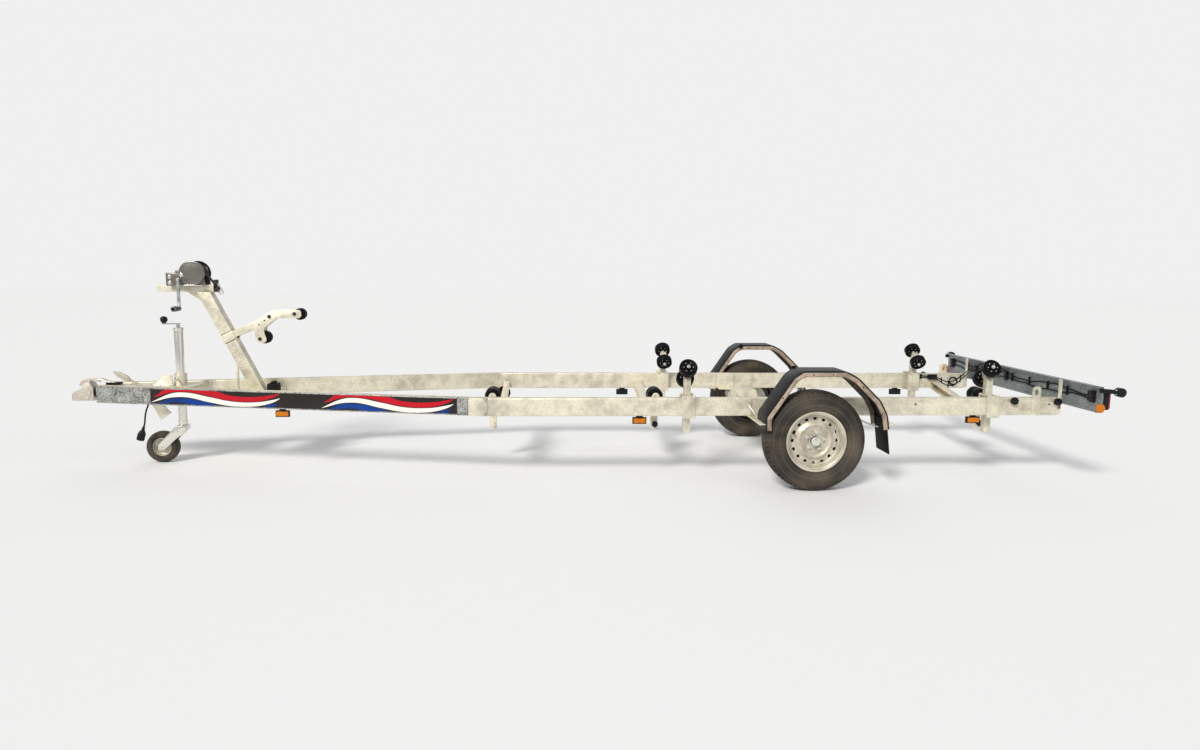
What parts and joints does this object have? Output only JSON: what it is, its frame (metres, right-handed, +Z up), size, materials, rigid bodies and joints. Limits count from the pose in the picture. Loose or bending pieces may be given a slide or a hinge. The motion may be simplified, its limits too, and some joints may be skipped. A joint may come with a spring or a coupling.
{
  "type": "boat trailer",
  "caption": "Galvanised single-axle boat trailer with keel and side rollers, winch post, jockey wheel and light board.",
  "frame": {"origin": "on the ground under the middle of the trailer's overall box", "axes": "+X towards the trailer's tail, +Y towards its right-hand side, +Z up"},
  "size_m": [6.948, 2.3, 1.432],
  "materials": {
    "galvanised_steel": "hot-dip galvanised, dull spangle",
    "silver_wheel_paint": "silver satin paint",
    "dark_steel": "dull cast drum",
    "zinc_plate": "zinc-plated, worn",
    "tyre_rubber": "dusty black rubber",
    "black_rubber": "matt black rubber",
    "black_plastic": "matt black plastic",
    "roller_rubber": "black roller rubber",
    "webbing": "black woven webbing",
    "red_lens": "clear red lens",
    "amber_lens": "clear amber lens"
  },
  "bodies": {
    "frame": {"axle": "galvanised_steel", "bellows": "black_rubber", "board_tubes": "galvanised_steel", "bow_arm": "galvanised_steel", "coupling_handle": "zinc_plate", "coupling_head": "zinc_plate", "cross_front": "galvanised_steel", "cross_middle": "galvanised_steel", "cross_rear": "galvanised_steel", "drawbar_left": "galvanised_steel", "drawbar_plate": "galvanised_steel", "drawbar_right": "galvanised_steel", "handbrake_lever": "zinc_plate", "jockey_crank": "zinc_plate", "jockey_tube": "galvanised_steel", "keel_posts": "galvanised_steel", "lamps": "black_plastic", "lashing_eyes": "galvanised_steel", "lenses_amber": "amber_lens", "lenses_red": "red_lens", "light_board": "galvanised_steel", "mudflaps": "black_rubber", "mudguard_left": "black_plastic", "mudguard_right": "black_plastic", "mudguard_stays": "galvanised_steel", "overrun_housing": "galvanised_steel", "plug": "black_plastic", "plug_lead": "black_rubber", "rail_left": "galvanised_steel", "rail_right": "galvanised_steel", "side_clamps": "galvanised_steel", "side_markers": "black_plastic", "side_posts_front": "galvanised_steel", "side_posts_rear": "galvanised_steel", "splice_plates": "galvanised_steel", "winch_crank": "zinc_plate", "winch_foot": "galvanised_steel", "winch_frame": "zinc_plate", "winch_post": "galvanised_steel", "winch_strap": "webbing"},
    "wheel_left": {"hub_left": "dark_steel", "rim_left": "silver_wheel_paint", "tyre_left": "tyre_rubber"},
    "wheel_right": {"hub_right": "dark_steel", "rim_right": "silver_wheel_paint", "tyre_right": "tyre_rubber"},
    "jockey_leg": {"jockey_leg": "galvanised_steel"},
    "jockey_fork": {"jockey_fork": "galvanised_steel"},
    "jockey_wheel": {"jockey_rim": "silver_wheel_paint", "jockey_tyre": "tyre_rubber"},
    "winch_drum": {"winch_drum": "zinc_plate"},
    "keel_roller_front": {"keel_roller_front": "roller_rubber"},
    "keel_roller_middle": {"keel_roller_middle": "roller_rubber"},
    "keel_roller_rear": {"keel_roller_rear": "roller_rubber"},
    "bow_roller_upper": {"bow_roller_upper": "black_rubber"},
    "bow_roller_lower": {"bow_roller_lower": "black_rubber"},
    "side_rollers_front_left": {"side_rollers_front_left": "roller_rubber"},
    "side_rollers_front_right": {"side_rollers_front_right": "roller_rubber"},
    "side_rollers_rear_left": {"side_rollers_rear_left": "roller_rubber"},
    "side_rollers_rear_right": {"side_rollers_rear_right": "roller_rubber"}
  },
  "joints": [
    {"name": "wheel_left_spin", "type": "hinge", "parent": "frame", "child": "wheel_left", "pos_m": [1.58, -0.882, 0.325], "axis": [0, 1, 0], "continuous": true},
    {"name": "wheel_right_spin", "type": "hinge", "parent": "frame", "child": "wheel_right", "pos_m": [1.58, 0.882, 0.325], "axis": [0, 1, 0], "continuous": true},
    {"name": "jockey_raise", "type": "slide", "parent": "frame", "child": "jockey_leg", "axis": [0, 0, -1], "range_m": [0, 0.2]},
    {"name": "jockey_swivel", "type": "hinge", "parent": "jockey_leg", "child": "jockey_fork", "pos_m": [-2.725, 0, 0.267], "axis": [0, 0, 1], "continuous": true},
    {"name": "jockey_wheel_spin", "type": "hinge", "parent": "jockey_fork", "child": "jockey_wheel", "pos_m": [-2.869, 0, 0.1125], "axis": [0, 1, 0], "continuous": true},
    {"name": "winch_drum_turn", "type": "hinge", "parent": "frame", "child": "winch_drum", "pos_m": [-2.59, 0, 1.346], "axis": [0, 1, 0], "continuous": true},
    {"name": "keel_front_spin", "type": "hinge", "parent": "frame", "child": "keel_roller_front", "pos_m": [-0.52, 0, 0.484], "axis": [0, 1, 0], "continuous": true},
    {"name": "keel_middle_spin", "type": "hinge", "parent": "frame", "child": "keel_roller_middle", "pos_m": [0.66, 0, 0.484], "axis": [0, 1, 0], "continuous": true},
    {"name": "keel_rear_spin", "type": "hinge", "parent": "frame", "child": "keel_roller_rear", "pos_m": [3.115, 0, 0.484], "axis": [0, 1, 0], "continuous": true},
    {"name": "side_front_left_spin", "type": "hinge", "parent": "frame", "child": "side_rollers_front_left", "pos_m": [0.802, -0.574, 0.714], "axis": [0, 0.8192, -0.5736], "continuous": true},
    {"name": "side_front_right_spin", "type": "hinge", "parent": "frame", "child": "side_rollers_front_right", "pos_m": [0.802, 0.574, 0.714], "axis": [0, 0.8192, 0.5736], "continuous": true},
    {"name": "side_rear_left_spin", "type": "hinge", "parent": "frame", "child": "side_rollers_rear_left", "pos_m": [2.872, -0.574, 0.714], "axis": [0, 0.8192, -0.5736], "continuous": true},
    {"name": "side_rear_right_spin", "type": "hinge", "parent": "frame", "child": "side_rollers_rear_right", "pos_m": [2.872, 0.574, 0.714], "axis": [0, 0.8192, 0.5736], "continuous": true},
    {"name": "bow_upper_spin", "type": "hinge", "parent": "frame", "child": "bow_roller_upper", "pos_m": [-1.87504, 0, 1.06527], "axis": [0, 1, 0], "continuous": true},
    {"name": "bow_lower_spin", "type": "hinge", "parent": "frame", "child": "bow_roller_lower", "pos_m": [-2.12337, 0, 0.90008], "axis": [0, 1, 0], "continuous": true}
  ]
}
